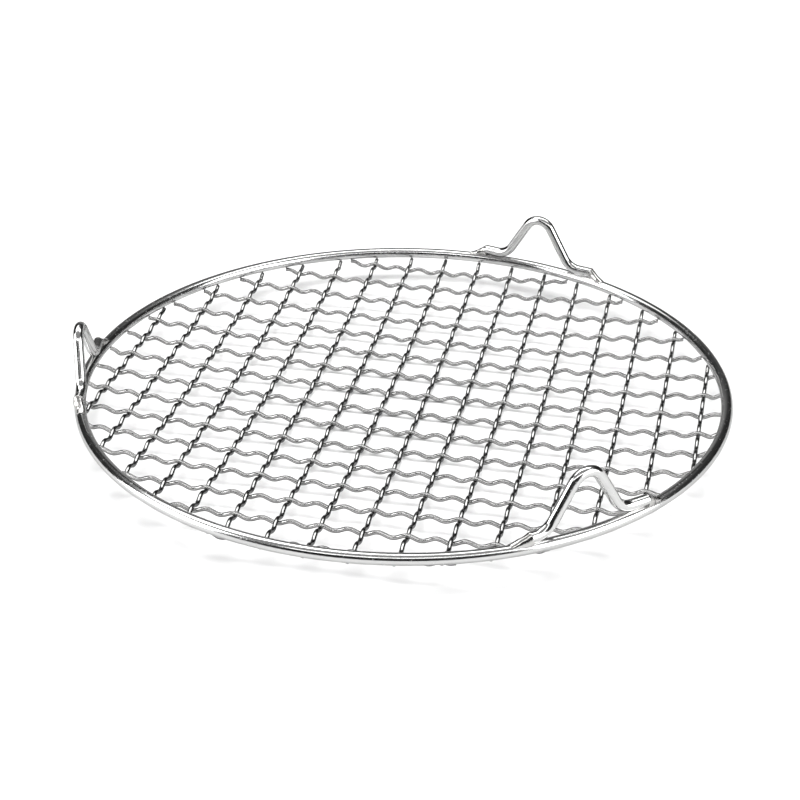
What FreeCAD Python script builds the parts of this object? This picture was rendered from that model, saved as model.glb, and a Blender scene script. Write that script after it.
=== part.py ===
"""Round wire cooling rack: a woven, crimped mesh on a welded ring with three bent-wire feet.

Units are millimetres and +Z is up. The rack lies on its mesh with its feet in the air, as it is
stored and dried: the origin is under the ring's centre, at the height of the lowest mesh wire.
Every round wire is drawn as a many-sided bar with a corner at its crown and one underneath.
"""
import FreeCAD, Part
import math
import os

import Sketcher

V = FreeCAD.Vector
X_AXIS, Z_AXIS = V(1, 0, 0), V(0, 0, 1)

SIZES = {
    # the ring: one round wire bent to a circle and butt-welded
    "ring_outside_diameter": 220.0,
    "ring_wire_diameter": 3.8,
    # the mesh: two families of crimped wires, woven at right angles and dished as one sheet
    "mesh_wire_diameter": 1.2,
    "mesh_pitch": 13.27,
    "mesh_dish": 5.0,
    "mesh_turn": -13.1,
    "mesh_shift_across": 0.2,
    "mesh_shift_along": -1.05,
    "wire_end_inset": 2.7,
    # the feet: bent wire with a straight tab at each end, welded on the ring's crown
    "foot_wire_diameter": 3.5,
    "foot_height": 20.0,
    "foot_slope": 58.5,
    "foot_tip_bend": 5.5,
    "foot_base_bend": 7.0,
    # they are bent and set by hand: each has its own place round the ring, outward tilt, span
    # between its tabs' cut ends, and offset of its tip from the middle of that span
    "rear_foot_turn": 60.2,
    "rear_foot_tilt": 0.0,
    "rear_foot_span": 44.5,
    "rear_tip_offset": 0.2,
    "left_foot_turn": 179.2,
    "left_foot_tilt": 5.5,
    "left_foot_span": 43.0,
    "left_tip_offset": 1.5,
    "front_foot_turn": 299.9,
    "front_foot_tilt": 0.0,
    "front_foot_span": 42.5,
    "front_tip_offset": -2.0,
    # the weld beads run from each tab's cut end down to the ring
    "weld_length": 5.5,
    "weld_toe_height": 0.5,
    "weld_toe_width": 2.6,
    # pieces that are welded or woven together lie this far apart
    "contact_gap": 0.02,
}
FEET = ("rear", "left", "front")
CRIMPS_PER_PITCH = 3  # bends from one crossing to the next, so each wire is over, then under
COUNT_TO_CENTRE = 8  # wires of each family up to the ring's centre
END_RISE = 0.8  # a wire's end needs this share of a bend's length to rise to the ring
# an even number of sides puts a corner at the crown and one underneath
RING_SIDES = 8
FOOT_SIDES = 6
MESH_SIDES = 4  # the mesh wires are many and thin

doc = FreeCAD.newDocument("CoolingRack")
sheet = doc.addObject("Spreadsheet::Sheet", "Sizes")
for line, (name, number) in enumerate(SIZES.items(), start=1):
    sheet.set(f"A{line}", name)
    sheet.set(f"B{line}", str(number))
    sheet.setAlias(f"B{line}", name)
doc.recompute()

# sizes that follow from the driving ones
ring_r = sheet.ring_wire_diameter / 2
ring_radius = sheet.ring_outside_diameter / 2 - ring_r
wire_r = sheet.mesh_wire_diameter / 2
foot_r = sheet.foot_wire_diameter / 2
gap = sheet.contact_gap

crimp_step = sheet.mesh_pitch / CRIMPS_PER_PITCH
# the steepest run climbs from a hollow to a crest on the rim of the dish
steepest_run = math.atan2(2 * wire_r, crimp_step) + math.atan2(2 * sheet.mesh_dish, ring_radius)
bend_reach = wire_r / math.cos(steepest_run)  # a wire's crown above its axis on that run
crimp = bend_reach + gap / 2  # each crest or hollow stands this far off the mesh's middle

mesh_drop = ring_r + gap + bend_reach + crimp  # mesh's middle below the ring's, at the ring
ring_level = mesh_drop + sheet.mesh_dish + crimp + bend_reach
wire_end_radius = sheet.ring_outside_diameter / 2 - sheet.wire_end_inset
# each wire's end touches the lower, inner side of the ring's wire
wire_weld_level = ring_level - math.sqrt(
    (ring_r + gap + bend_reach) ** 2 - (ring_radius - wire_end_radius) ** 2
)

tab_level = ring_level + ring_r + gap + foot_r
tip_rise = sheet.foot_height - gap - 2 * foot_r  # tip's wire centre above the tabs' wire centre


def origin_plane(body, role):
    return next(f for f in body.Origin.OriginFeatures if f.Role == role)


def new_sketch(body, name, role):
    sketch = body.newObject("Sketcher::SketchObject", name)
    sketch.AttachmentSupport = [(origin_plane(body, role), "")]
    sketch.MapMode = "FlatFace"
    return sketch


def wire_section(body, name, role, sides, radius, radius_rule, across=0, across_rule=None):
    """A wire's section with a corner up, on the plane's horizontal axis or at its origin."""
    sketch = new_sketch(body, name, role)
    turns = [2 * math.pi * corner / sides for corner in range(sides)]
    corners = [V(across + radius * math.sin(t), radius * math.cos(t), 0) for t in turns]
    sketch.addGeometry([
        Part.LineSegment(corners[side], corners[(side + 1) % sides]) for side in range(sides)
    ])
    outline = sketch.addGeometry(Part.Circle(V(across, 0, 0), Z_AXIS, radius), True)
    rule = Sketcher.Constraint
    sketch.addConstraint([rule("Coincident", k, 2, (k + 1) % sides, 1) for k in range(sides)])
    sketch.addConstraint([rule("PointOnObject", k, 1, outline) for k in range(sides)])
    sketch.addConstraint([rule("Equal", k, k + 1) for k in range(sides - 1)])
    sketch.addConstraint(rule("Vertical", 0, 1, outline, 3))
    size = sketch.addConstraint(rule("Radius", outline, radius))
    sketch.setExpression(f"Constraints[{size}]", radius_rule)
    if across_rule:
        sketch.addConstraint(rule("PointOnObject", outline, 3, -1))
        place = sketch.addConstraint(rule("DistanceX", -1, 1, outline, 3, across))
        sketch.setExpression(f"Constraints[{place}]", across_rule)
    else:
        sketch.addConstraint(rule("Coincident", outline, 3, -1, 1))
    return sketch


# ---------------------------------------------------------------- ring


def make_ring():
    body = doc.addObject("PartDesign::Body", "Ring")
    body.Label = "ring"
    section = wire_section(
        body, "RingSection", "XZ_Plane", RING_SIDES, ring_r, "Sizes.ring_wire_diameter / 2",
        ring_radius, "Sizes.ring_outside_diameter / 2 - Sizes.ring_wire_diameter / 2",
    )
    turn = body.newObject("PartDesign::Revolution", "RingTurn")
    turn.Profile = section
    turn.ReferenceAxis = (section, ["V_Axis"])
    turn.Angle = 360
    body.Placement.Base = V(0, 0, ring_level)
    return body


# ---------------------------------------------------------------- feet


def foot_size(name, size):
    """A size that one foot has to itself."""
    return getattr(sheet, f"{name}_{size}")


def foot_path(body, name):
    """Tab, base bend, slope, tip bend, slope, base bend and tab, in the foot's upright plane."""
    slope = math.radians(sheet.foot_slope)
    tip_bend, base_bend = sheet.foot_tip_bend, sheet.foot_base_bend
    span, offset = foot_size(name, "foot_span"), foot_size(name, "tip_offset")
    tip_centre = V(offset, tip_rise - tip_bend, 0)
    tip_end = tip_centre + V(math.sin(slope), math.cos(slope), 0) * tip_bend
    base_end_height = base_bend * (1 - math.cos(slope))
    run = (tip_end.y - base_end_height) / math.tan(slope)
    base_end = V(tip_end.x + run, base_end_height, 0)
    base_centre = base_end + V(math.sin(slope), math.cos(slope), 0) * base_bend
    tab_start = V(base_centre.x, 0, 0)
    tab_end = V(span / 2, 0, 0)

    def arc(centre, radius, start, end):
        return Part.ArcOfCircle(Part.Circle(centre, Z_AXIS, radius), start, end)

    def mirrored(p):
        return V(2 * offset - p.x, p.y, 0)

    up, right_angle = math.pi, math.pi / 2
    sketch = new_sketch(body, "FootPath", "XZ_Plane")
    tab_l, base_l, slope_l, tip, slope_r, base_r, tab_r = range(7)
    sketch.addGeometry([
        Part.LineSegment(-tab_end, mirrored(tab_start)),
        arc(mirrored(base_centre), base_bend, -right_angle, slope - right_angle),
        Part.LineSegment(mirrored(base_end), mirrored(tip_end)),
        arc(tip_centre, tip_bend, right_angle - slope, right_angle + slope),
        Part.LineSegment(tip_end, base_end),
        arc(base_centre, base_bend, up + right_angle - slope, up + right_angle),
        Part.LineSegment(tab_start, tab_end),
    ])
    rule = Sketcher.Constraint
    sketch.addConstraint([
        rule("Tangent", tab_l, 2, base_l, 1),
        rule("Tangent", base_l, 2, slope_l, 1),
        rule("Tangent", slope_l, 2, tip, 2),
        rule("Tangent", tip, 1, slope_r, 1),
        rule("Tangent", slope_r, 2, base_r, 1),
        rule("Tangent", base_r, 2, tab_r, 1),
        rule("PointOnObject", tab_l, 1, -1),
        rule("PointOnObject", tab_l, 2, -1),
        rule("Symmetric", tab_l, 1, tab_r, 2, -2),
        rule("Equal", base_l, base_r),
        rule("Equal", slope_l, slope_r),
    ])
    sized = (
        (rule("Distance", tab_l, 1, tab_r, 2, span), f"Sizes.{name}_foot_span"),
        (rule("DistanceX", -1, 1, tip, 3, offset), f"Sizes.{name}_tip_offset"),
        (rule("Radius", base_r, base_bend), "Sizes.foot_base_bend"),
        (rule("Radius", tip, tip_bend), "Sizes.foot_tip_bend"),
        (rule("Angle", slope_l, slope), "Sizes.foot_slope * 1deg"),
        (rule("DistanceY", -1, 1, tip, 3, tip_centre.y),
         "Sizes.foot_height - Sizes.contact_gap - Sizes.foot_wire_diameter - Sizes.foot_tip_bend"),
    )
    for constraint, expression in sized:
        place = sketch.addConstraint(constraint)
        sketch.setExpression(f"Constraints[{place}]", expression)
    return sketch


def foot_distance(name):
    """How far a foot's plane lies from the ring's centre, for its tabs to lie along the ring."""
    slope = math.radians(sheet.foot_slope)
    bends = sheet.foot_tip_bend + sheet.foot_base_bend
    arch_reach = tip_rise / math.tan(slope) + bends * math.tan(slope / 2)
    tab_middle = (foot_size(name, "foot_span") / 2 + arch_reach) / 2
    return math.sqrt(ring_radius**2 - tab_middle**2)


def foot_placement(name, tilt):
    """Local X runs along the ring and local -Y points outwards; the tilt tips the foot outwards."""
    turn = foot_size(name, "foot_turn")
    out = V(math.cos(math.radians(turn)), math.sin(math.radians(turn)), 0)
    place = out * foot_distance(name) + V(0, 0, tab_level)
    turned = FreeCAD.Rotation(Z_AXIS, turn + 90) * FreeCAD.Rotation(X_AXIS, tilt)
    return FreeCAD.Placement(place, turned)


def make_foot(name):
    body = doc.addObject("PartDesign::Body", f"Foot_{name}")
    body.Label = f"{name}_foot"
    path = foot_path(body, name)
    section = wire_section(
        body, "FootSection", "YZ_Plane", FOOT_SIDES, foot_r, "Sizes.foot_wire_diameter / 2"
    )
    tab_end = -foot_size(name, "foot_span") / 2
    section.AttachmentOffset = FreeCAD.Placement(V(0, 0, tab_end), FreeCAD.Rotation())
    section.setExpression("AttachmentOffset.Base.z", f"-Sizes.{name}_foot_span / 2")
    bend = body.newObject("PartDesign::AdditivePipe", "FootBend")
    bend.Profile = section
    bend.Spine = (path, [])
    body.Placement = foot_placement(name, foot_size(name, "foot_tilt"))
    return body


# ---------------------------------------------------------------- welds


def bar_section(name, sides, radius, placement):
    """A wire's section as a face outline, with a corner up when the placement turns Z sideways."""
    section = doc.addObject("Part::RegularPolygon", name)
    section.Polygon = sides
    section.Circumradius = radius
    section.Placement = placement
    return section


def make_weld(name, side, ring_cutter):
    """A slightly hollow bead from the tab's cut end down to the ring, which it follows and wraps."""
    foot = foot_placement(name, 0)
    distance = foot_distance(name)
    ring_crown = -foot_r - gap
    toe_r = sheet.weld_toe_width / 2
    toe_fall = 2 * foot_r - sheet.weld_toe_height
    stations = (  # share of the bead's length, share of its fall that is left
        (0.0, 1.0),
        (0.3, 0.72),
        (0.65, 0.33),
        (1.0, 0.0),
    )
    sections = []
    for number, (along, fall_left) in enumerate(stations):
        x = foot_size(name, "foot_span") / 2 + gap + along * sheet.weld_length
        # the ring curves away under the foot's straight plane
        inward = distance - math.sqrt(ring_radius**2 - x**2)
        top = ring_crown + sheet.weld_toe_height + toe_fall * fall_left
        radius = foot_r + (toe_r - foot_r) * along
        place = FreeCAD.Placement(V(side * x, inward * along, top - radius),
                                  FreeCAD.Rotation(V(0, 1, 0), 90))
        label = f"WeldSection_{name}_{side}_{number}"
        sections.append(bar_section(label, FOOT_SIDES, radius, foot * place))
    loft = doc.addObject("Part::Loft", f"WeldLoft_{name}_{side}")
    loft.Sections = sections
    loft.Solid = True
    loft.Ruled = True
    bead = doc.addObject("Part::Cut", f"Weld_{name}_{side}")
    bead.Label = f"{name}_foot_weld_{'a' if side < 0 else 'b'}"
    bead.Base = loft
    bead.Tool = ring_cutter
    return bead


def make_ring_cutter():
    """The ring's own shape with the contact gap round it, which hollows the welds' undersides."""
    section = doc.addObject("Part::RegularPolygon", "RingCutterSection")
    section.Polygon = RING_SIDES
    section.setExpression(
        "Circumradius",
        f"Sizes.ring_wire_diameter / 2 + Sizes.contact_gap / cos(180deg / {RING_SIDES})",
    )
    section.setExpression(
        "Placement.Base.x", "Sizes.ring_outside_diameter / 2 - Sizes.ring_wire_diameter / 2"
    )
    section.Placement.Rotation = FreeCAD.Rotation(X_AXIS, 90)
    cutter = doc.addObject("Part::Revolution", "RingCutter")
    cutter.Source = section
    cutter.Axis = Z_AXIS
    cutter.Angle = 360
    cutter.Solid = True
    cutter.Placement.Base = V(0, 0, ring_level)
    return cutter


# ---------------------------------------------------------------- mesh


def lattice(shift):
    """Every wire of one family: {its number: its distance from the ring's centre line}.

    A wire keeps its number when the ring grows or shrinks, and wires come or go at the rim.
    """
    reach = int(ring_radius / sheet.mesh_pitch) + 2
    places = {
        COUNT_TO_CENTRE + n: shift + (n - 0.5) * sheet.mesh_pitch for n in range(-reach, reach)
    }
    return {n: place for n, place in places.items() if abs(place) < ring_radius - ring_r}


def mesh_level(radius):
    """Height of the mesh's middle, a shallow dish that is lowest at the centre."""
    return ring_level - mesh_drop - sheet.mesh_dish * (1 - (radius / ring_radius) ** 2)


def crimped_points(offset, along_shift, phase, crossings):
    """The bends of one wire as (distance along it, height).

    It lies at offset from the ring's centre line. It bends at each crossing and twice between
    crossings, and past its last crossing it rises to its weld on the underside of the ring.
    """
    half = math.sqrt(wire_end_radius**2 - offset**2)
    reach = int(half / crimp_step) + 2 * CRIMPS_PER_PITCH
    points = []
    for number in range(-reach, reach):
        place = along_shift + 0.5 * sheet.mesh_pitch + number * crimp_step
        is_crossing = number % CRIMPS_PER_PITCH == 0
        margin = 0 if is_crossing else crimp_step * END_RISE
        if abs(place) < half - margin:
            crest_or_hollow = phase * (-1) ** number * crimp
            points.append((place, mesh_level(math.hypot(place, offset)) + crest_or_hollow))
    for side in (-1, 1):
        last_crossing = max(side * c for c in crossings if side * c < half)
        has_room = half - last_crossing > crimp_step * END_RISE
        last_height = max(points, key=lambda point: side * point[0])[1]
        points.append((side * half, wire_weld_level if has_room else last_height))
    return sorted(points)


def make_mesh_wire(label, axis_angle, offset, points):
    """One wire of the mesh, swept along its crimps with a mitred corner at every bend."""
    turn = FreeCAD.Placement(V(0, 0, 0), FreeCAD.Rotation(Z_AXIS, sheet.mesh_turn + axis_angle))
    corners = [turn.multVec(V(along, offset, height)) for along, height in points]
    spine = doc.addObject("Part::Feature", f"Spine_{label}")
    spine.Shape = Part.makePolygon(corners)
    sideways = turn.Rotation.multVec(V(0, 1, 0))
    corner_up = FreeCAD.Rotation(Z_AXIS, sideways, corners[1] - corners[0], "ZXY")
    start = FreeCAD.Placement(corners[0], corner_up)
    section = bar_section(f"Section_{label}", MESH_SIDES, wire_r, start)
    section.setExpression("Circumradius", "Sizes.mesh_wire_diameter / 2")
    wire = doc.addObject("Part::Sweep", f"Wire_{label}")
    wire.Label = label
    wire.Sections = [section]
    wire.Spine = (spine, [])
    wire.Solid = True
    wire.Frenet = False
    wire.Transition = "Right corner"
    return wire


def make_mesh():
    """Weft wires run across and warp wires run along; each crossing swaps which one is on top."""
    weft = lattice(sheet.mesh_shift_along)
    warp = lattice(sheet.mesh_shift_across)
    wires = []
    for number, offset in weft.items():
        phase = -((-1) ** number)
        points = crimped_points(offset, sheet.mesh_shift_across, phase, warp.values())
        wires.append(make_mesh_wire(f"weft_wire_{number:02d}", 0, offset, points))
    for number, offset in warp.items():
        # a quarter turn puts the warp's own left side at minus its offset
        phase = (-1) ** number
        points = crimped_points(offset, sheet.mesh_shift_along, phase, weft.values())
        wires.append(make_mesh_wire(f"warp_wire_{number:02d}", 90, -offset, points))
    return wires


# ---------------------------------------------------------------- whole rack


def main():
    pieces = [make_ring()]
    cutter = make_ring_cutter()
    for name in FEET:
        pieces.append(make_foot(name))
        pieces += [make_weld(name, side, cutter) for side in (-1, 1)]
    pieces += make_mesh()
    doc.recompute()

    for thing in doc.Objects:
        if "Invalid" in thing.State or "Error" in thing.State:
            raise RuntimeError(f"{thing.Label} did not recompute: {thing.State}")
    for piece in pieces:
        if piece.Shape.isNull() or not piece.Shape.isValid() or piece.Shape.Volume <= 0:
            raise RuntimeError(f"{piece.Label} is not a sound solid")

    os.makedirs("parts", exist_ok=True)
    for piece in pieces:
        piece.Shape.exportStep(f"parts/{piece.Label}.step")
        print(piece.Label, round(piece.Shape.Volume, 2), len(piece.Shape.Faces))


main()
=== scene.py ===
"""Finishes and shows the round wire cooling rack: bright steel ring, feet, welds and woven mesh."""
import math

import bmesh
import bpy
from mathutils import Matrix, Vector, noise


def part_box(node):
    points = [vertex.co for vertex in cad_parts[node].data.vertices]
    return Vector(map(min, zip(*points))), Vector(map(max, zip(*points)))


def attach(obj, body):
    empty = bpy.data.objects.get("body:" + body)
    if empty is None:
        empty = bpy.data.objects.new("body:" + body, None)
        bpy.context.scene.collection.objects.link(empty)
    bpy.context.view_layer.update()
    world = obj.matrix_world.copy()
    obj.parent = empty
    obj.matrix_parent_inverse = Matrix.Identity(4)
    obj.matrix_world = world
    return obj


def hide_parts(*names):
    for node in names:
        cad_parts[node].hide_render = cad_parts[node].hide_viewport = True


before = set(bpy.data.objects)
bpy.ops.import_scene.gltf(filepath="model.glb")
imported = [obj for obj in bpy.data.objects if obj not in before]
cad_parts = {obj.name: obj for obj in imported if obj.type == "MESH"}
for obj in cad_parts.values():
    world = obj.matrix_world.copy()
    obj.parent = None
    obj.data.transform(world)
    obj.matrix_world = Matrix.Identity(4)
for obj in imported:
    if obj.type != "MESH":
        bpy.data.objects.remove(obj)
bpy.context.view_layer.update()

bl_info = {
    "name": "Wire Cooling Rack",
    "version": (1, 0, 0),
    "blender": (4, 5, 0),
    "location": "View3D > Sidebar > Rack",
    "description": "Builds a round cooling rack of crimped wire mesh on a ring with three feet",
    "category": "Add Mesh",
}

RING_LOW, RING_HIGH = (Vector(corner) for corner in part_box("ring"))
RING_WIDTH = RING_HIGH.y - RING_LOW.y
RING_WIRE = RING_HIGH.z - RING_LOW.z
RING_LEVEL = (RING_HIGH.z + RING_LOW.z) / 2
FEET = ("rear", "left", "front")
MESH_WIRES = 16
WIRES_TO_CENTRE = 8
CRIMPS_PER_PITCH = 3
WIRE_MAP = "wire_run"  # the wire's own map, in metres along it and once round it
FOOT_SIDES, FOOT_STATIONS = 24, 150
BEAD_SIDES, BEAD_STATIONS = 20, 36
MESH_SIDES, MESH_STATIONS_PER_CRIMP, LEAST_MESH_STATIONS = 10, 9, 8
RING_SIDES, RING_STATIONS = 28, 300
END_RISE = 0.8  # share of a crimp's length in which a wire's end rises to its weld
EDGE_TINT = (0.6, 0.6, 0.6, 1.0)  # steel reflects this share at the very edge
# painted shade: how strongly the mesh's colour is darkened towards its edges as the camera sees them
PAINTED_EDGE_SHADE_GAIN = 3.0  # how soon the mesh darkens as it turns aslant
SENSOR_WIDTH = 36.0
FLOOR_HALF_WIDTH = 3.0


# ------------------------------------------------------------------ settings


def length(name, description, default):
    """A length in metres."""
    return bpy.props.FloatProperty(
        name=name, description=description, default=default, unit="LENGTH", precision=5,
    )


def angle(name, description, degrees):
    return bpy.props.FloatProperty(
        name=name, description=description, default=math.radians(degrees), unit="ROTATION",
    )


def share(name, description, default):
    return bpy.props.FloatProperty(
        name=name, description=description, default=default, min=0.0, max=1.0, subtype="FACTOR",
    )


def colour(name, description, default):
    return bpy.props.FloatVectorProperty(
        name=name, description=description, default=default, size=4, min=0.0, max=1.0,
        subtype="COLOR",
    )


def each_foot(name, description, values, kind="LENGTH"):
    """One number for each foot, in the order of FEET; angles are given in degrees."""
    if kind == "ANGLE":
        return bpy.props.FloatVectorProperty(
            name=name, description=description, size=3, unit="ROTATION",
            default=[math.radians(value) for value in values],
        )
    return bpy.props.FloatVectorProperty(
        name=name, description=description, size=3, unit="LENGTH", default=values, precision=5,
    )


def power(name, description, default):
    return bpy.props.FloatProperty(
        name=name, description=description, default=default, min=0.0, unit="POWER",
    )


class RackRingSettings(bpy.types.PropertyGroup):
    outside: length("Outside diameter", "Across the outside of the ring", RING_WIDTH)
    wire: length("Wire diameter", "Thickness of the ring's wire", RING_WIRE)
    level: length("Level", "Height of the middle of the ring's wire", RING_LEVEL)


class RackFootSettings(bpy.types.PropertyGroup):
    wire: length("Wire diameter", "Thickness of a foot's wire", 0.0035)
    height: length("Height", "Crown of the ring to the tip of a foot", 0.02)
    slope: angle("Slope", "Rise of a foot's straight legs", 58.5)
    tip_bend: length("Tip bend", "Radius of the bend at the tip, to the wire's middle", 0.0055)
    base_bend: length("Base bend", "Radius of the bends at the tabs", 0.007)
    turns: each_foot("Turns", "Place of each foot round the ring", (60.2, 179.2, 299.9), "ANGLE")
    tilts: each_foot("Tilts", "How far each foot tips outwards", (0.0, 5.5, 0.0), "ANGLE")
    spans: each_foot("Spans", "From one tab's cut end to the other's", (0.0445, 0.043, 0.0425))
    tip_offsets: each_foot("Tip offsets", "Tip from the middle of the span", (0.0002, 0.0015, -0.002))
    weld_length: length("Weld length", "A bead's run from the tab's cut end along the ring", 0.0055)
    weld_toe: length("Weld toe", "Width of a bead where it dies out on the ring", 0.0026)


class RackMeshSettings(bpy.types.PropertyGroup):
    wire: length("Wire diameter", "Thickness of a mesh wire", 0.0014)
    crimp: length("Crimp", "Height of a crest's middle above the middle of the mesh", 0.00065)
    pitch: length("Pitch", "From one wire of a family to the next", 0.01327)
    dish: length("Dish", "Fall of the mesh from the ring to its middle", 0.005)
    turn: angle("Turn", "Turn of the weave about the ring's middle", -13.1)
    shift_across: length("Shift across", "Offset of the warp from the ring's middle", 0.0002)
    shift_along: length("Shift along", "Offset of the weft from the ring's middle", -0.00105)
    drop: length("Drop", "Middle of the mesh below the ring's, at the ring", 0.00307)
    end_inset: length("End inset", "A wire's cut end in from the outside of the ring", 0.0027)
    end_drop: length("End drop", "A wire's welded end below the middle of the ring", 0.00243)


class RackFinishSettings(bpy.types.PropertyGroup):
    bright: colour("Bright steel", "Clean polished wire", (0.82, 0.82, 0.815, 1.0))
    mesh: colour("Mesh steel", "Clean wire of the mesh, seen face on", (0.84, 0.84, 0.83, 1.0))
    # painted shade: the dark grey that the mesh's colour is pulled towards where a wire turns away from
    # the camera, standing in for the dark edges of the steel
    mesh_painted_edge_shade: colour("Mesh rim", "Wire of the mesh seen aslant", (0.20, 0.20, 0.20, 1.0))
    mesh_dull: colour("Mesh dull steel", "Clouded wire of the mesh", (0.50, 0.50, 0.505, 1.0))
    dull: colour("Dull steel", "Wire that is handled or lightly clouded", (0.50, 0.50, 0.505, 1.0))
    weld: colour("Weld steel", "Bead where it has stayed bright", (0.72, 0.71, 0.69, 1.0))
    scorch: colour("Scorch", "Straw tint beside a weld", (0.42, 0.36, 0.28, 1.0))
    ring_roughness: share("Ring roughness", "Roughness of the ring where it is brightest", 0.10)
    mesh_roughness: share("Mesh roughness", "Roughness of the mesh where it is brightest", 0.15)
    floor: colour("Floor", "Pale matt floor", (0.88, 0.88, 0.88, 1.0))
    floor_mirrored: colour("Floor mirrored", "The floor as the steel mirrors it, less bleached",
                           (0.62, 0.62, 0.62, 1.0))


class RackStageSettings(bpy.types.PropertyGroup):
    camera_place: bpy.props.FloatVectorProperty(
        name="Camera place", description="Where the camera stands", subtype="TRANSLATION",
        unit="LENGTH", default=(-0.0093, -0.5269, 0.2884), precision=5,
    )
    camera_fall: angle("Camera fall", "How far the camera looks down", 28.49)
    camera_turn: angle("Camera turn", "Turn of the camera about the upright axis", -0.88)
    camera_roll: angle("Camera roll", "Roll of the camera about its own axis", 0.41)
    focal_length: bpy.props.FloatProperty(
        name="Focal length", description="In millimetres, on a sensor 36 mm wide", default=79.26,
    )
    left_light: power("Left light", "Power of the tall softbox on the left", 6.2)
    right_light: power("Right light", "Power of the tall softbox on the right", 6.6)
    rear_light: power("Rear light", "Power of the raised softbox behind and to the left", 1.6)
    strip_light: power("Strip light", "Power of the long strip almost overhead", 3.9)
    front_light: power("Front light", "Power of the long strip high on the camera's side", 1.2)
    top_light: power("Top light", "Power of the broad light overhead, kept out of reflections", 7.8)
    room: share("Room", "Brightness of the room low down", 0.02)
    ceiling: share("Ceiling", "Brightness of the room overhead", 0.30)
    back_wall: share("Back wall", "Extra brightness straight behind the rack", 0.35)


GROUPS = {
    "rack_ring": RackRingSettings,
    "rack_feet": RackFootSettings,
    "rack_mesh": RackMeshSettings,
    "rack_finish": RackFinishSettings,
    "rack_stage": RackStageSettings,
}


# ------------------------------------------------------------------ shader groups


def new_group(name, inputs, outputs):
    """A shader node group with named number inputs and outputs, and its two end nodes."""
    group = bpy.data.node_groups.new(name, "ShaderNodeTree")
    for label, kind, default in inputs:
        socket = group.interface.new_socket(label, in_out="INPUT", socket_type=kind)
        socket.default_value = default
    for label, kind in outputs:
        group.interface.new_socket(label, in_out="OUTPUT", socket_type=kind)
    return group, group.nodes.new("NodeGroupInput"), group.nodes.new("NodeGroupOutput")


def math_node(tree, operation, first, second=None):
    """A Math node; each input is a socket or a number."""
    node = tree.nodes.new("ShaderNodeMath")
    node.operation = operation
    for place, value in enumerate((first, second)):
        if value is None:
            continue
        if isinstance(value, bpy.types.NodeSocket):
            tree.links.new(value, node.inputs[place])
        else:
            node.inputs[place].default_value = value
    return node.outputs[0]


def stretch(tree, vector, low_in, high_in, low_out, high_out):
    """A Map Range node from one span of numbers to another, held inside it."""
    node = tree.nodes.new("ShaderNodeMapRange")
    tree.links.new(vector, node.inputs["Value"])
    for label, value in (
        ("From Min", low_in), ("From Max", high_in), ("To Min", low_out), ("To Max", high_out),
    ):
        if isinstance(value, bpy.types.NodeSocket):
            tree.links.new(value, node.inputs[label])
        else:
            node.inputs[label].default_value = value
    return node.outputs["Result"]


def noise_node(tree, vector, scale, detail=2.0, roughness=0.5):
    node = tree.nodes.new("ShaderNodeTexNoise")
    tree.links.new(vector, node.inputs["Vector"])
    if isinstance(scale, bpy.types.NodeSocket):
        tree.links.new(scale, node.inputs["Scale"])
    else:
        node.inputs["Scale"].default_value = scale
    node.inputs["Detail"].default_value = detail
    node.inputs["Roughness"].default_value = roughness
    return node.outputs["Fac"]


def drawn_grain_group():
    """Fine lengthwise scratches that the die leaves on drawn wire."""
    group, start, end = new_group(
        "drawn_wire_grain",
        [("Scratches Round", "NodeSocketFloat", 40.0), ("Scratches Along", "NodeSocketFloat", 60.0)],
        [("Height", "NodeSocketFloat"), ("Mask", "NodeSocketFloat")],
    )
    along = group.nodes.new("ShaderNodeUVMap")
    along.uv_map = WIRE_MAP
    parts = group.nodes.new("ShaderNodeSeparateXYZ")
    group.links.new(along.outputs["UV"], parts.inputs["Vector"])
    # the way round becomes a circle, so that the scratches close on themselves
    turn = math_node(group, "MULTIPLY", parts.outputs["Y"], 2 * math.pi)
    place = group.nodes.new("ShaderNodeCombineXYZ")
    across = math_node(group, "MULTIPLY", math_node(group, "COSINE", turn),
                       start.outputs["Scratches Round"])
    upward = math_node(group, "MULTIPLY", math_node(group, "SINE", turn),
                       start.outputs["Scratches Round"])
    run = math_node(group, "MULTIPLY", parts.outputs["X"], start.outputs["Scratches Along"])
    group.links.new(across, place.inputs["X"])
    group.links.new(upward, place.inputs["Y"])
    group.links.new(run, place.inputs["Z"])
    fine = noise_node(group, place.outputs["Vector"], 1.0, 4.0, 0.6)
    group.links.new(fine, end.inputs["Height"])
    group.links.new(stretch(group, fine, 0.42, 0.62, 0.0, 1.0), end.inputs["Mask"])
    return group


def handled_patches_group():
    """Broad clouding and small specks that handling, washing and polishing leave on the steel."""
    group, start, end = new_group(
        "handled_patches",
        [("Patch Size", "NodeSocketFloat", 60.0), ("Speck Size", "NodeSocketFloat", 900.0)],
        [("Clouding", "NodeSocketFloat"), ("Specks", "NodeSocketFloat")],
    )
    place = group.nodes.new("ShaderNodeTexCoord")
    broad = noise_node(group, place.outputs["Object"], start.outputs["Patch Size"], 3.0, 0.55)
    small = noise_node(group, place.outputs["Object"], start.outputs["Speck Size"], 2.0, 0.5)
    group.links.new(stretch(group, broad, 0.4, 0.68, 0.0, 1.0), end.inputs["Clouding"])
    group.links.new(stretch(group, small, 0.62, 0.72, 0.0, 1.0), end.inputs["Specks"])
    return group


def shared_groups():
    """Both groups, built once."""
    makers = {"drawn_wire_grain": drawn_grain_group, "handled_patches": handled_patches_group}
    return {
        name: bpy.data.node_groups.get(name) or maker() for name, maker in makers.items()
    }


# ------------------------------------------------------------------ materials


def mix_colour(tree, factor, first, second):
    node = tree.nodes.new("ShaderNodeMix")
    node.data_type = "RGBA"
    tree.links.new(factor, node.inputs["Factor"])
    for place, value in ((6, first), (7, second)):
        if isinstance(value, bpy.types.NodeSocket):
            tree.links.new(value, node.inputs[place])
        else:
            node.inputs[place].default_value = value
    return node.outputs[2]


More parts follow.
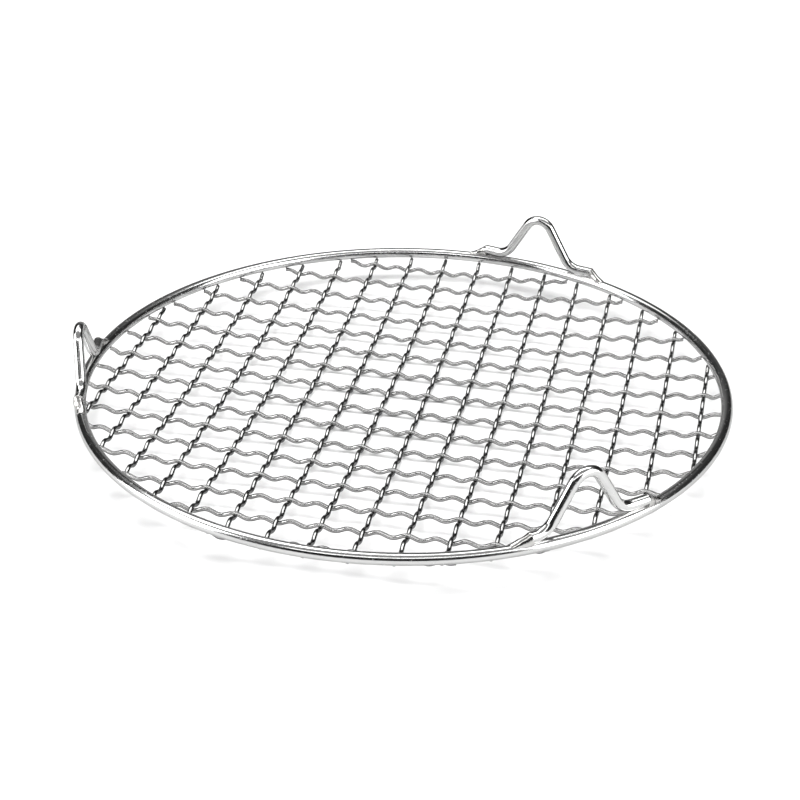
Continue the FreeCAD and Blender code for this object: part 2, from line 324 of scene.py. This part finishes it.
def steel_material(name, bright, dull, roughness, scratches, bump, scorch=None, painted_edge_shade=None):
    """Bright drawn stainless wire: clouded patches, fine lengthwise scratches and specks, and, for the
    mesh, painted shade that darkens the colour where the wire turns away from the camera.
    """
    material = bpy.data.materials.get(name)
    if material:
        return material
    material = bpy.data.materials.new(name)
    material.use_nodes = True
    tree = material.node_tree
    shader = tree.nodes["Principled BSDF"]
    shader.inputs["Metallic"].default_value = 1.0
    shader.inputs["Specular Tint"].default_value = EDGE_TINT
    groups = shared_groups()
    grain = tree.nodes.new("ShaderNodeGroup")
    grain.node_tree = groups["drawn_wire_grain"]
    grain.inputs["Scratches Round"].default_value = scratches[0]
    grain.inputs["Scratches Along"].default_value = scratches[1]
    wear = tree.nodes.new("ShaderNodeGroup")
    wear.node_tree = groups["handled_patches"]

    clouding = math_node(tree, "MULTIPLY", wear.outputs["Clouding"], 0.35)
    clouded = mix_colour(tree, clouding, bright, dull)
    scratched = math_node(tree, "MULTIPLY", grain.outputs["Mask"], 0.25)
    base = mix_colour(tree, scratched, clouded, dull)
    if scorch:
        heat = tree.nodes.new("ShaderNodeAttribute")
        heat.attribute_name = "heat"
        base = mix_colour(tree, heat.outputs["Fac"], base, scorch)
    # painted shade: Layer Weight's facing pulls the base colour towards a dark grey at the wire's edges
    # as the camera sees them, in place of the dark reflections there
    if painted_edge_shade:
        slant = tree.nodes.new("ShaderNodeLayerWeight")
        slant.inputs["Blend"].default_value = 0.5
        aslant = math_node(tree, "MULTIPLY", slant.outputs["Facing"], PAINTED_EDGE_SHADE_GAIN)
        base = mix_colour(tree, aslant, base, painted_edge_shade)
    tree.links.new(base, shader.inputs["Base Color"])

    extra = math_node(tree, "ADD", math_node(tree, "MULTIPLY", wear.outputs["Clouding"], 0.06),
                      math_node(tree, "MULTIPLY", grain.outputs["Mask"], 0.08))
    extra = math_node(tree, "ADD", extra,
                      math_node(tree, "MULTIPLY", wear.outputs["Specks"], 0.15))
    tree.links.new(math_node(tree, "ADD", extra, roughness), shader.inputs["Roughness"])

    relief = tree.nodes.new("ShaderNodeBump")
    relief.inputs["Strength"].default_value = bump
    relief.inputs["Distance"].default_value = 0.00003
    tree.links.new(grain.outputs["Height"], relief.inputs["Height"])
    tree.links.new(relief.outputs["Normal"], shader.inputs["Normal"])
    return material


def ring_steel(finish):
    return steel_material("ring_drawn_steel", finish.bright, finish.dull, finish.ring_roughness,
                          (9.0, 35.0), 0.35)


def foot_steel(finish):
    return steel_material("foot_drawn_steel", finish.bright, finish.dull, finish.ring_roughness,
                          (8.0, 60.0), 0.35)


def mesh_steel(finish):
    # the mesh steel has its grain and clouding, and painted shade darkening the wires' edges
    return steel_material("mesh_drawn_steel", finish.mesh, finish.mesh_dull, finish.mesh_roughness,
                          (5.0, 150.0), 0.3, painted_edge_shade=finish.mesh_painted_edge_shade)


def weld_steel(finish):
    return steel_material("bead_steel", finish.weld, finish.dull, finish.mesh_roughness,
                          (4.0, 500.0), 0.6, finish.scorch)


def floor_material(finish):
    """Matt pale board with a very faint mottle."""
    material = bpy.data.materials.new("pale_board")
    material.use_nodes = True
    tree = material.node_tree
    shader = tree.nodes["Principled BSDF"]
    shader.inputs["Specular IOR Level"].default_value = 0.2
    place = tree.nodes.new("ShaderNodeTexCoord")
    mottle = noise_node(tree, place.outputs["Object"], 12.0, 3.0)
    paler = [min(1.0, part * 1.02) for part in finish.floor[:3]] + [1.0]
    seen = mix_colour(tree, mottle, finish.floor, paler)
    path = tree.nodes.new("ShaderNodeLightPath")
    board = mix_colour(tree, path.outputs["Is Glossy Ray"], seen, finish.floor_mirrored)
    tree.links.new(board, shader.inputs["Base Color"])
    rough = stretch(tree, mottle, 0.3, 0.7, 0.75, 0.85)
    tree.links.new(rough, shader.inputs["Roughness"])
    return material


# ------------------------------------------------------------------ wire in mesh form


def straight_bar(radius, run, sides, stations):
    """A round bar along Z from 0 to run, cut into stations, with its own map along and round it."""
    bar = bmesh.new()
    bmesh.ops.create_cone(bar, cap_ends=True, segments=sides, radius1=radius, radius2=radius,
                          depth=run)
    bmesh.ops.translate(bar, verts=bar.verts, vec=(0, 0, run / 2))
    lengthwise = [edge for edge in bar.edges if abs(edge.verts[0].co.z - edge.verts[1].co.z) > run / 2]
    bmesh.ops.subdivide_edges(bar, edges=lengthwise, cuts=stations - 1, use_grid_fill=True)
    layer = bar.loops.layers.uv.new(WIRE_MAP)
    for face in bar.faces:
        face.smooth = len(face.verts) == 4
        centre = face.calc_center_median()
        middle = math.atan2(centre.y, centre.x)
        for loop in face.loops:
            corner = math.atan2(loop.vert.co.y, loop.vert.co.x)
            offset = (corner - middle + math.pi) % (2 * math.pi) - math.pi
            loop[layer].uv = (loop.vert.co.z, (middle + offset) / (2 * math.pi))
    return bar


def bend_bar(bar, path):
    """Lays a straight bar along a path.

    path(distance) gives the point there and the directions across the bar and up from it.
    """
    for vert in bar.verts:
        point, across, up = path(vert.co.z)
        vert.co = point + across * vert.co.x + up * vert.co.y


def finished(name, bar, material, slot, *nodes):
    """The piece as an object at the origin that rides with the rack and stands for its nodes."""
    bmesh.ops.recalc_face_normals(bar, faces=bar.faces)
    mesh = bpy.data.meshes.new(name)
    bar.to_mesh(mesh)
    bar.free()
    mesh.materials.append(material)
    piece = bpy.data.objects.new(name, mesh)
    bpy.context.scene.collection.objects.link(piece)
    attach(piece, "root")
    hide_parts(*nodes)
    return piece


# ------------------------------------------------------------------ ring


def ring_piece(ring, finish):
    """One round wire, turned about the upright axis through a full circle."""
    radius = ring.wire / 2
    middle = ring.outside / 2 - radius
    bar = bmesh.new()
    made = bmesh.ops.create_circle(bar, segments=RING_SIDES, radius=radius)
    bmesh.ops.rotate(bar, verts=made["verts"], cent=(0, 0, 0),
                     matrix=Matrix.Rotation(math.pi / 2, 3, "X"))
    bmesh.ops.translate(bar, verts=made["verts"], vec=(middle, 0, ring.level))
    bmesh.ops.spin(bar, geom=bar.verts[:] + bar.edges[:], cent=(0, 0, 0), axis=(0, 0, 1),
                   angle=2 * math.pi, steps=RING_STATIONS, use_merge=True, use_duplicate=False)
    layer = bar.loops.layers.uv.new(WIRE_MAP)

    def run_and_turn(point):
        outward = math.hypot(point.x, point.y) - middle
        return math.atan2(point.y, point.x), math.atan2(point.z - ring.level, outward)

    for face in bar.faces:
        face.smooth = True
        centre = run_and_turn(face.calc_center_median())
        for loop in face.loops:
            corner = run_and_turn(loop.vert.co)
            run, turn = (
                whole + (part - whole + math.pi) % (2 * math.pi) - math.pi
                for whole, part in zip(centre, corner)
            )
            loop[layer].uv = (run * middle, turn / (2 * math.pi))
    return finished("ring_wire", bar, ring_steel(finish), "ring_steel", "ring")


# ------------------------------------------------------------------ feet and welds


class Foot:
    """One foot's own sizes and its place on the ring.

    Its local X runs along the ring from the middle of its span, and local -Y points outwards.
    """

    def __init__(self, name, foot, ring):
        order = FEET.index(name)
        self.name = name
        self.wire = foot.wire
        self.slope = foot.slope
        self.tip_bend, self.base_bend = foot.tip_bend, foot.base_bend
        self.turn, self.tilt = foot.turns[order], foot.tilts[order]
        self.span, self.tip_offset = foot.spans[order], foot.tip_offsets[order]
        self.rise = foot.height - foot.wire
        bends = self.tip_bend + self.base_bend
        self.arch_reach = self.rise / math.tan(self.slope) + bends * math.tan(self.slope / 2)
        self.leg = self.rise / math.sin(self.slope) - bends * math.tan(self.slope / 2)
        self.ring_radius = ring.outside / 2 - ring.wire / 2
        tab_middle = (self.span / 2 + self.arch_reach) / 2
        self.distance = math.sqrt(self.ring_radius**2 - tab_middle**2)
        self.level = ring.level + ring.wire / 2 + foot.wire / 2

    def place(self, tilt):
        turn = self.turn
        out = Vector((math.cos(turn), math.sin(turn), 0)) * self.distance
        return (Matrix.Translation(out + Vector((0, 0, self.level)))
                @ Matrix.Rotation(turn + math.pi / 2, 4, "Z") @ Matrix.Rotation(tilt, 4, "X"))


def foot_piece(foot, finish):
    """One bent wire: tab, base bend, leg, tip bend, leg, base bend and tab."""
    slope = foot.slope
    base, tip = foot.base_bend, foot.tip_bend
    tab = foot.span / 2 - foot.arch_reach
    runs = (  # length of each stretch, and how far it turns upwards
        (tab + foot.tip_offset, 0.0), (base * slope, slope), (foot.leg, 0.0),
        (tip * 2 * slope, -2 * slope),
        (foot.leg, 0.0), (base * slope, slope), (tab - foot.tip_offset, 0.0),
    )
    whole = sum(run for run, _ in runs)

    def path(distance):
        point, heading = Vector((-foot.span / 2, 0, 0)), 0.0
        for run, turn in runs:
            part = min(max(distance, 0.0), run)
            swing = turn * part / run
            chord = part * (math.sin(swing / 2) / (swing / 2) if abs(swing) > 1e-6 else 1.0)
            step = heading + swing / 2
            point = point + Vector((math.cos(step), 0, math.sin(step))) * chord
            heading += swing
            distance -= part
            if distance <= 0:
                break
        return point, Vector((0, 1, 0)), Vector((-math.sin(heading), 0, math.cos(heading)))

    bar = straight_bar(foot.wire / 2, whole, FOOT_SIDES, FOOT_STATIONS)
    bend_bar(bar, path)
    bmesh.ops.transform(bar, matrix=foot.place(foot.tilt), verts=bar.verts)
    return finished(f"{foot.name}_foot_wire", bar, foot_steel(finish), "foot_steel",
                    f"{foot.name}_foot")


def weld_piece(foot, side, letter, settings, ring, finish):
    """A molten bead: full at the tab's cut end, slightly hollow, and thin at its toe."""
    overlap = 0.0006
    run = settings.weld_length + overlap
    crown = -foot.wire / 2
    bead = straight_bar(1.0, run, BEAD_SIDES, BEAD_STATIONS)
    heat = bead.verts.layers.float.new("heat")

    def path(z):
        x = foot.span / 2 - overlap + z
        along = max(0.0, (z - overlap) / settings.weld_length)
        inward = foot.distance - math.sqrt(foot.ring_radius**2 - x**2)
        half_width = foot.wire / 2 * 1.02 * (1 - along) + settings.weld_toe / 2 * along
        top = crown + 0.0003 + (foot.wire * 1.01 - 0.0003) * (1 - along) ** 1.3
        low = crown - ring.wire * 0.35
        point = Vector((side * x, inward * min(1.0, along * 2), (top + low) / 2))
        return point, Vector((0, half_width, 0)), Vector((0, 0, (top - low) / 2))

    for vert in bead.verts:
        along = vert.co.z / run
        vert[heat] = max(0.0, 0.55 * (1 - abs(along - 0.75) / 0.35))
    bend_bar(bead, path)
    for vert in bead.verts:
        vert.co += vert.normal * noise.noise(vert.co * 900.0) * 0.00012
    bmesh.ops.transform(bead, matrix=foot.place(0.0), verts=bead.verts)
    return finished(f"{foot.name}_bead_{letter}", bead, weld_steel(finish), "weld_steel",
                    f"{foot.name}_foot_weld_{letter}")


# ------------------------------------------------------------------ mesh


class Weave:
    """Levels and places in the woven sheet."""

    def __init__(self, mesh, ring):
        self.mesh = mesh
        self.ring_level = ring.level
        self.ring_radius = ring.outside / 2 - ring.wire / 2
        self.end_radius = ring.outside / 2 - mesh.end_inset
        self.crimp_step = mesh.pitch / CRIMPS_PER_PITCH
        self.crimp = mesh.crimp

    def offset(self, shift, number):
        return shift + (number - WIRES_TO_CENTRE - 0.5) * self.mesh.pitch

    def sheet_level(self, radius):
        fall = self.mesh.dish * (1 - (radius / self.ring_radius) ** 2)
        return self.ring_level - self.mesh.drop - fall

    def wave(self, along, offset, shift, phase):
        """Height of a crimped wire's middle."""
        turns = math.pi * (along - shift - self.mesh.pitch / 2) / self.crimp_step
        sheet = self.sheet_level(math.hypot(along, offset))
        return sheet + phase * self.crimp * math.cos(turns)

    def wire_path(self, offset, shift, phase):
        """Path of one wire, and its whole run: it rises to its welds in its last few millimetres."""
        half = math.sqrt(self.end_radius**2 - offset**2)
        rise_run = self.crimp_step * END_RISE
        weld_level = self.ring_level - self.mesh.end_drop

        def height(along):
            past = max(0.0, (abs(along) - (half - rise_run)) / rise_run)
            eased = past * past * (3 - 2 * past)
            return self.wave(along, offset, shift, phase) * (1 - eased) + weld_level * eased

        def path(distance):
            along = distance - half
            reach = self.crimp_step * 0.01
            rise = (height(along + reach) - height(along - reach)) / (2 * reach)
            lean = math.atan(rise)
            up = Vector((-math.sin(lean), 0, math.cos(lean)))
            return Vector((along, offset, height(along))), Vector((0, 1, 0)), up

        return path, 2 * half


def mesh_piece(kind, number, weave, shift, cross_shift, quarter, finish):
    """One crimped wire of the weft or the warp."""
    offset = weave.offset(shift, number)
    phase = (-1) ** number
    if kind == "weft":
        path, run = weave.wire_path(offset, cross_shift, -phase)
    else:
        path, run = weave.wire_path(-offset, cross_shift, phase)
    stations = round(run / weave.crimp_step * MESH_STATIONS_PER_CRIMP)
    bar = straight_bar(weave.mesh.wire / 2, run, MESH_SIDES, max(LEAST_MESH_STATIONS, stations))
    bend_bar(bar, path)
    bmesh.ops.rotate(bar, verts=bar.verts, cent=(0, 0, 0),
                     matrix=Matrix.Rotation(weave.mesh.turn + quarter, 3, "Z"))
    name = f"{kind}_wire_{number:02d}"
    return finished(f"{kind}_{number:02d}", bar, mesh_steel(finish), "mesh_steel", name)


# ------------------------------------------------------------------ stage


def place_camera(stage):
    lens = bpy.data.cameras.new("view")
    lens.lens = stage.focal_length
    lens.sensor_width = SENSOR_WIDTH
    lens.clip_start = 0.01
    camera = bpy.data.objects.new("view", lens)
    bpy.context.scene.collection.objects.link(camera)
    camera.matrix_world = (
        Matrix.Translation(stage.camera_place)
        @ Matrix.Rotation(stage.camera_turn, 4, "Z")
        @ Matrix.Rotation(math.pi / 2 - stage.camera_fall, 4, "X")
        @ Matrix.Rotation(stage.camera_roll, 4, "Z")
    )
    bpy.context.scene.camera = camera


def softbox(name, place, aim, size, power):
    """A flat rectangular light that faces its aim."""
    lamp = bpy.data.lights.new(name, "AREA")
    lamp.shape = "RECTANGLE"
    lamp.size, lamp.size_y = size
    lamp.energy = power
    box = bpy.data.objects.new(name, lamp)
    bpy.context.scene.collection.objects.link(box)
    towards = Vector(aim) - Vector(place)
    box.matrix_world = Matrix.Translation(place) @ towards.to_track_quat("-Z", "Y").to_matrix().to_4x4()
    return box


def make_floor(finish):
    sheet = bmesh.new()
    bmesh.ops.create_grid(sheet, x_segments=2, y_segments=2, size=FLOOR_HALF_WIDTH)
    mesh = bpy.data.meshes.new("floor")
    sheet.to_mesh(mesh)
    sheet.free()
    mesh.materials.append(floor_material(finish))
    floor = bpy.data.objects.new("floor", mesh)
    bpy.context.scene.collection.objects.link(floor)


def light_room(stage):
    """A dim room that is paler overhead and straight behind the rack."""
    world = bpy.data.worlds.new("room")
    world.use_nodes = True
    tree = world.node_tree
    direction = tree.nodes.new("ShaderNodeTexCoord")
    parts = tree.nodes.new("ShaderNodeSeparateXYZ")
    tree.links.new(direction.outputs["Generated"], parts.inputs["Vector"])
    overhead = stretch(tree, parts.outputs["Z"], 0.55, 0.85, stage.room, stage.ceiling)
    behind = stretch(tree, parts.outputs["Y"], 0.85, 1.0, 0.0, stage.back_wall)
    background = tree.nodes["Background"]
    background.inputs["Color"].default_value = (1.0, 1.0, 1.0, 1.0)
    tree.links.new(math_node(tree, "ADD", overhead, behind), background.inputs["Strength"])
    bpy.context.scene.world = world


# ------------------------------------------------------------------ operators and panel


class RACK_OT_make_ring(bpy.types.Operator):
    """Make the ring that carries the mesh and the feet"""
    bl_idname = "rack.make_ring"
    bl_label = "Make Ring"

    def execute(self, context):
        scene = context.scene
        ring_piece(scene.rack_ring, scene.rack_finish)
        return {"FINISHED"}


class RACK_OT_make_feet(bpy.types.Operator):
    """Make the three bent-wire feet on the ring's crown"""
    bl_idname = "rack.make_feet"
    bl_label = "Make Feet"

    def execute(self, context):
        scene = context.scene
        for name in FEET:
            foot_piece(Foot(name, scene.rack_feet, scene.rack_ring), scene.rack_finish)
        return {"FINISHED"}


class RACK_OT_make_welds(bpy.types.Operator):
    """Make the weld beads at the feet's tabs"""
    bl_idname = "rack.make_welds"
    bl_label = "Make Welds"

    def execute(self, context):
        scene = context.scene
        settings, ring = scene.rack_feet, scene.rack_ring
        for name in FEET:
            foot = Foot(name, settings, ring)
            for side, letter in ((-1, "a"), (1, "b")):
                weld_piece(foot, side, letter, settings, ring, scene.rack_finish)
        return {"FINISHED"}


class RACK_OT_make_weft(bpy.types.Operator):
    """Make the mesh wires that run from side to side"""
    bl_idname = "rack.make_weft"
    bl_label = "Make Weft Wires"

    def execute(self, context):
        scene = context.scene
        mesh = scene.rack_mesh
        weave = Weave(mesh, scene.rack_ring)
        for number in range(1, MESH_WIRES + 1):
            mesh_piece("weft", number, weave, mesh.shift_along, mesh.shift_across, 0.0,
                       scene.rack_finish)
        return {"FINISHED"}


class RACK_OT_make_warp(bpy.types.Operator):
    """Make the mesh wires that run from front to rear"""
    bl_idname = "rack.make_warp"
    bl_label = "Make Warp Wires"

    def execute(self, context):
        scene = context.scene
        mesh = scene.rack_mesh
        weave = Weave(mesh, scene.rack_ring)
        for number in range(1, MESH_WIRES + 1):
            mesh_piece("warp", number, weave, mesh.shift_across, mesh.shift_along, math.pi / 2,
                       scene.rack_finish)
        return {"FINISHED"}


class RACK_OT_make_stage(bpy.types.Operator):
    """Set the floor, the lights and the camera"""
    bl_idname = "rack.make_stage"
    bl_label = "Make Stage"

    def execute(self, context):
        scene = context.scene
        stage = scene.rack_stage
        make_floor(scene.rack_finish)
        light_room(stage)
        softbox("left_light", (-0.85, -0.18, 0.38), (0, -0.02, 0.38), (0.6, 0.74), stage.left_light)
        softbox("right_light", (0.72, -0.42, 0.38), (0, 0, 0.38), (0.65, 0.74), stage.right_light)
        softbox("rear_light", (-0.36, 0.36, 0.8), (0, 0, 0), (0.75, 0.4), stage.rear_light)
        softbox("strip_light", (0, 0.26, 0.9), (0, 0, 0), (1.2, 0.3), stage.strip_light)
        softbox("front_light", (0, -0.62, 0.65), (0, 0, 0), (1.1, 0.13), stage.front_light)
        top = softbox("top_light", (0, 0.05, 1.0), (0, 0.05, 0), (1.2, 1.2), stage.top_light)
        top.visible_glossy = False
        scene.view_settings.view_transform = "Standard"
        place_camera(stage)
        return {"FINISHED"}


class RACK_PT_panel(bpy.types.Panel):
    """The rack's steps and settings"""
    bl_idname = "RACK_PT_panel"
    bl_label = "Cooling Rack"
    bl_space_type = "VIEW_3D"
    bl_region_type = "UI"
    bl_category = "Rack"

    def draw(self, context):
        layout = self.layout
        for step in STEPS:
            layout.operator(step.bl_idname)
        for group in GROUPS:
            box = layout.box()
            settings = getattr(context.scene, group)
            for name in settings.bl_rna.properties.keys():
                if name not in {"rna_type", "name"}:
                    box.prop(settings, name)


STEPS = (
    RACK_OT_make_ring, RACK_OT_make_feet, RACK_OT_make_welds, RACK_OT_make_weft,
    RACK_OT_make_warp, RACK_OT_make_stage,
)


def register():
    for item in (*GROUPS.values(), *STEPS, RACK_PT_panel):
        bpy.utils.register_class(item)
    for name, group in GROUPS.items():
        setattr(bpy.types.Scene, name, bpy.props.PointerProperty(type=group))


def unregister():
    for name in GROUPS:
        delattr(bpy.types.Scene, name)
    for item in (RACK_PT_panel, *reversed(STEPS), *reversed(GROUPS.values())):
        bpy.utils.unregister_class(item)


def main():
    register()
    bpy.ops.rack.make_ring()
    bpy.ops.rack.make_feet()
    bpy.ops.rack.make_welds()
    bpy.ops.rack.make_weft()
    bpy.ops.rack.make_warp()
    bpy.ops.rack.make_stage()


if __name__ == "__main__":
    main()
